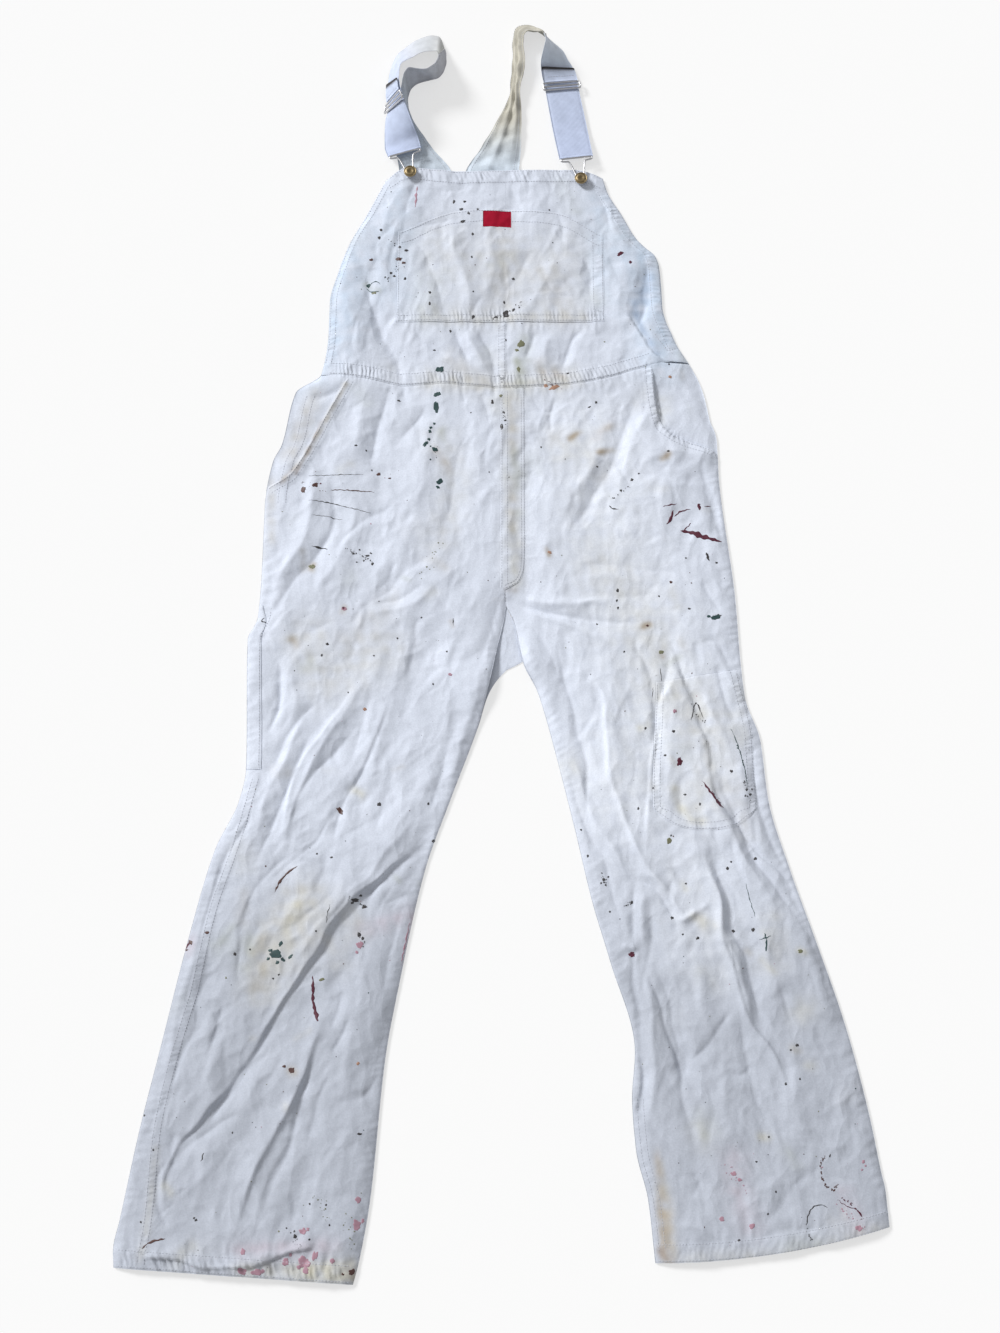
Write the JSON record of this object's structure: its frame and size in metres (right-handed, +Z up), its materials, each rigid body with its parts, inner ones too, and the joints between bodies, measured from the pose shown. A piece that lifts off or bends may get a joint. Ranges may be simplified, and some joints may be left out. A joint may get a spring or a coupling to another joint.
{
  "type": "painter's bib overalls",
  "caption": "Paint-spattered white bib overalls laid flat on a table, front up, with adjustable shoulder straps hooked to the bib's buttons.",
  "frame": {"origin": "on the table, at the middle of the outline's bounding box", "axes": "+Z up off the table and out of the garment's front, +Y along the body from the trouser hems towards the shoulder straps, +X to the viewer's right, which is the wearer's left"},
  "size_m": [0.8004, 1.499, 0.0423],
  "materials": {
    "drill": "washed white cotton drill with a faint blue cast, paint spattered",
    "stained_drill": "washed white cotton drill, stained cream",
    "webbing": "ribbed pale lavender-blue strap webbing",
    "label": "plain woven red label",
    "wire": "worn plated steel wire",
    "button": "worn antique brass"
  },
  "bodies": {
    "root": {"front_leg_left": "drill", "front_leg_right": "drill", "back_leg_left": "drill", "back_leg_right": "drill", "back_upper": "drill", "hip_facing_left": "drill", "hip_facing_right": "drill", "bib_left": "drill", "bib_right": "drill", "bib_pocket": "stained_drill", "fly_placket": "stained_drill", "tool_pocket_left": "drill", "tool_pocket_right": "stained_drill", "label": "label", "strap_cloth_left": "drill", "strap_cloth_right": "stained_drill", "strap_web_upper_left": "webbing", "strap_web_tail_left": "webbing", "strap_web_front_left": "webbing", "strap_web_upper_right": "webbing", "strap_web_tail_right": "webbing", "strap_web_front_right": "webbing", "slider_left": "wire", "slider_right": "wire", "hook_left": "wire", "hook_right": "wire", "button_left": "button", "button_right": "button"}
  },
  "joints": []
}
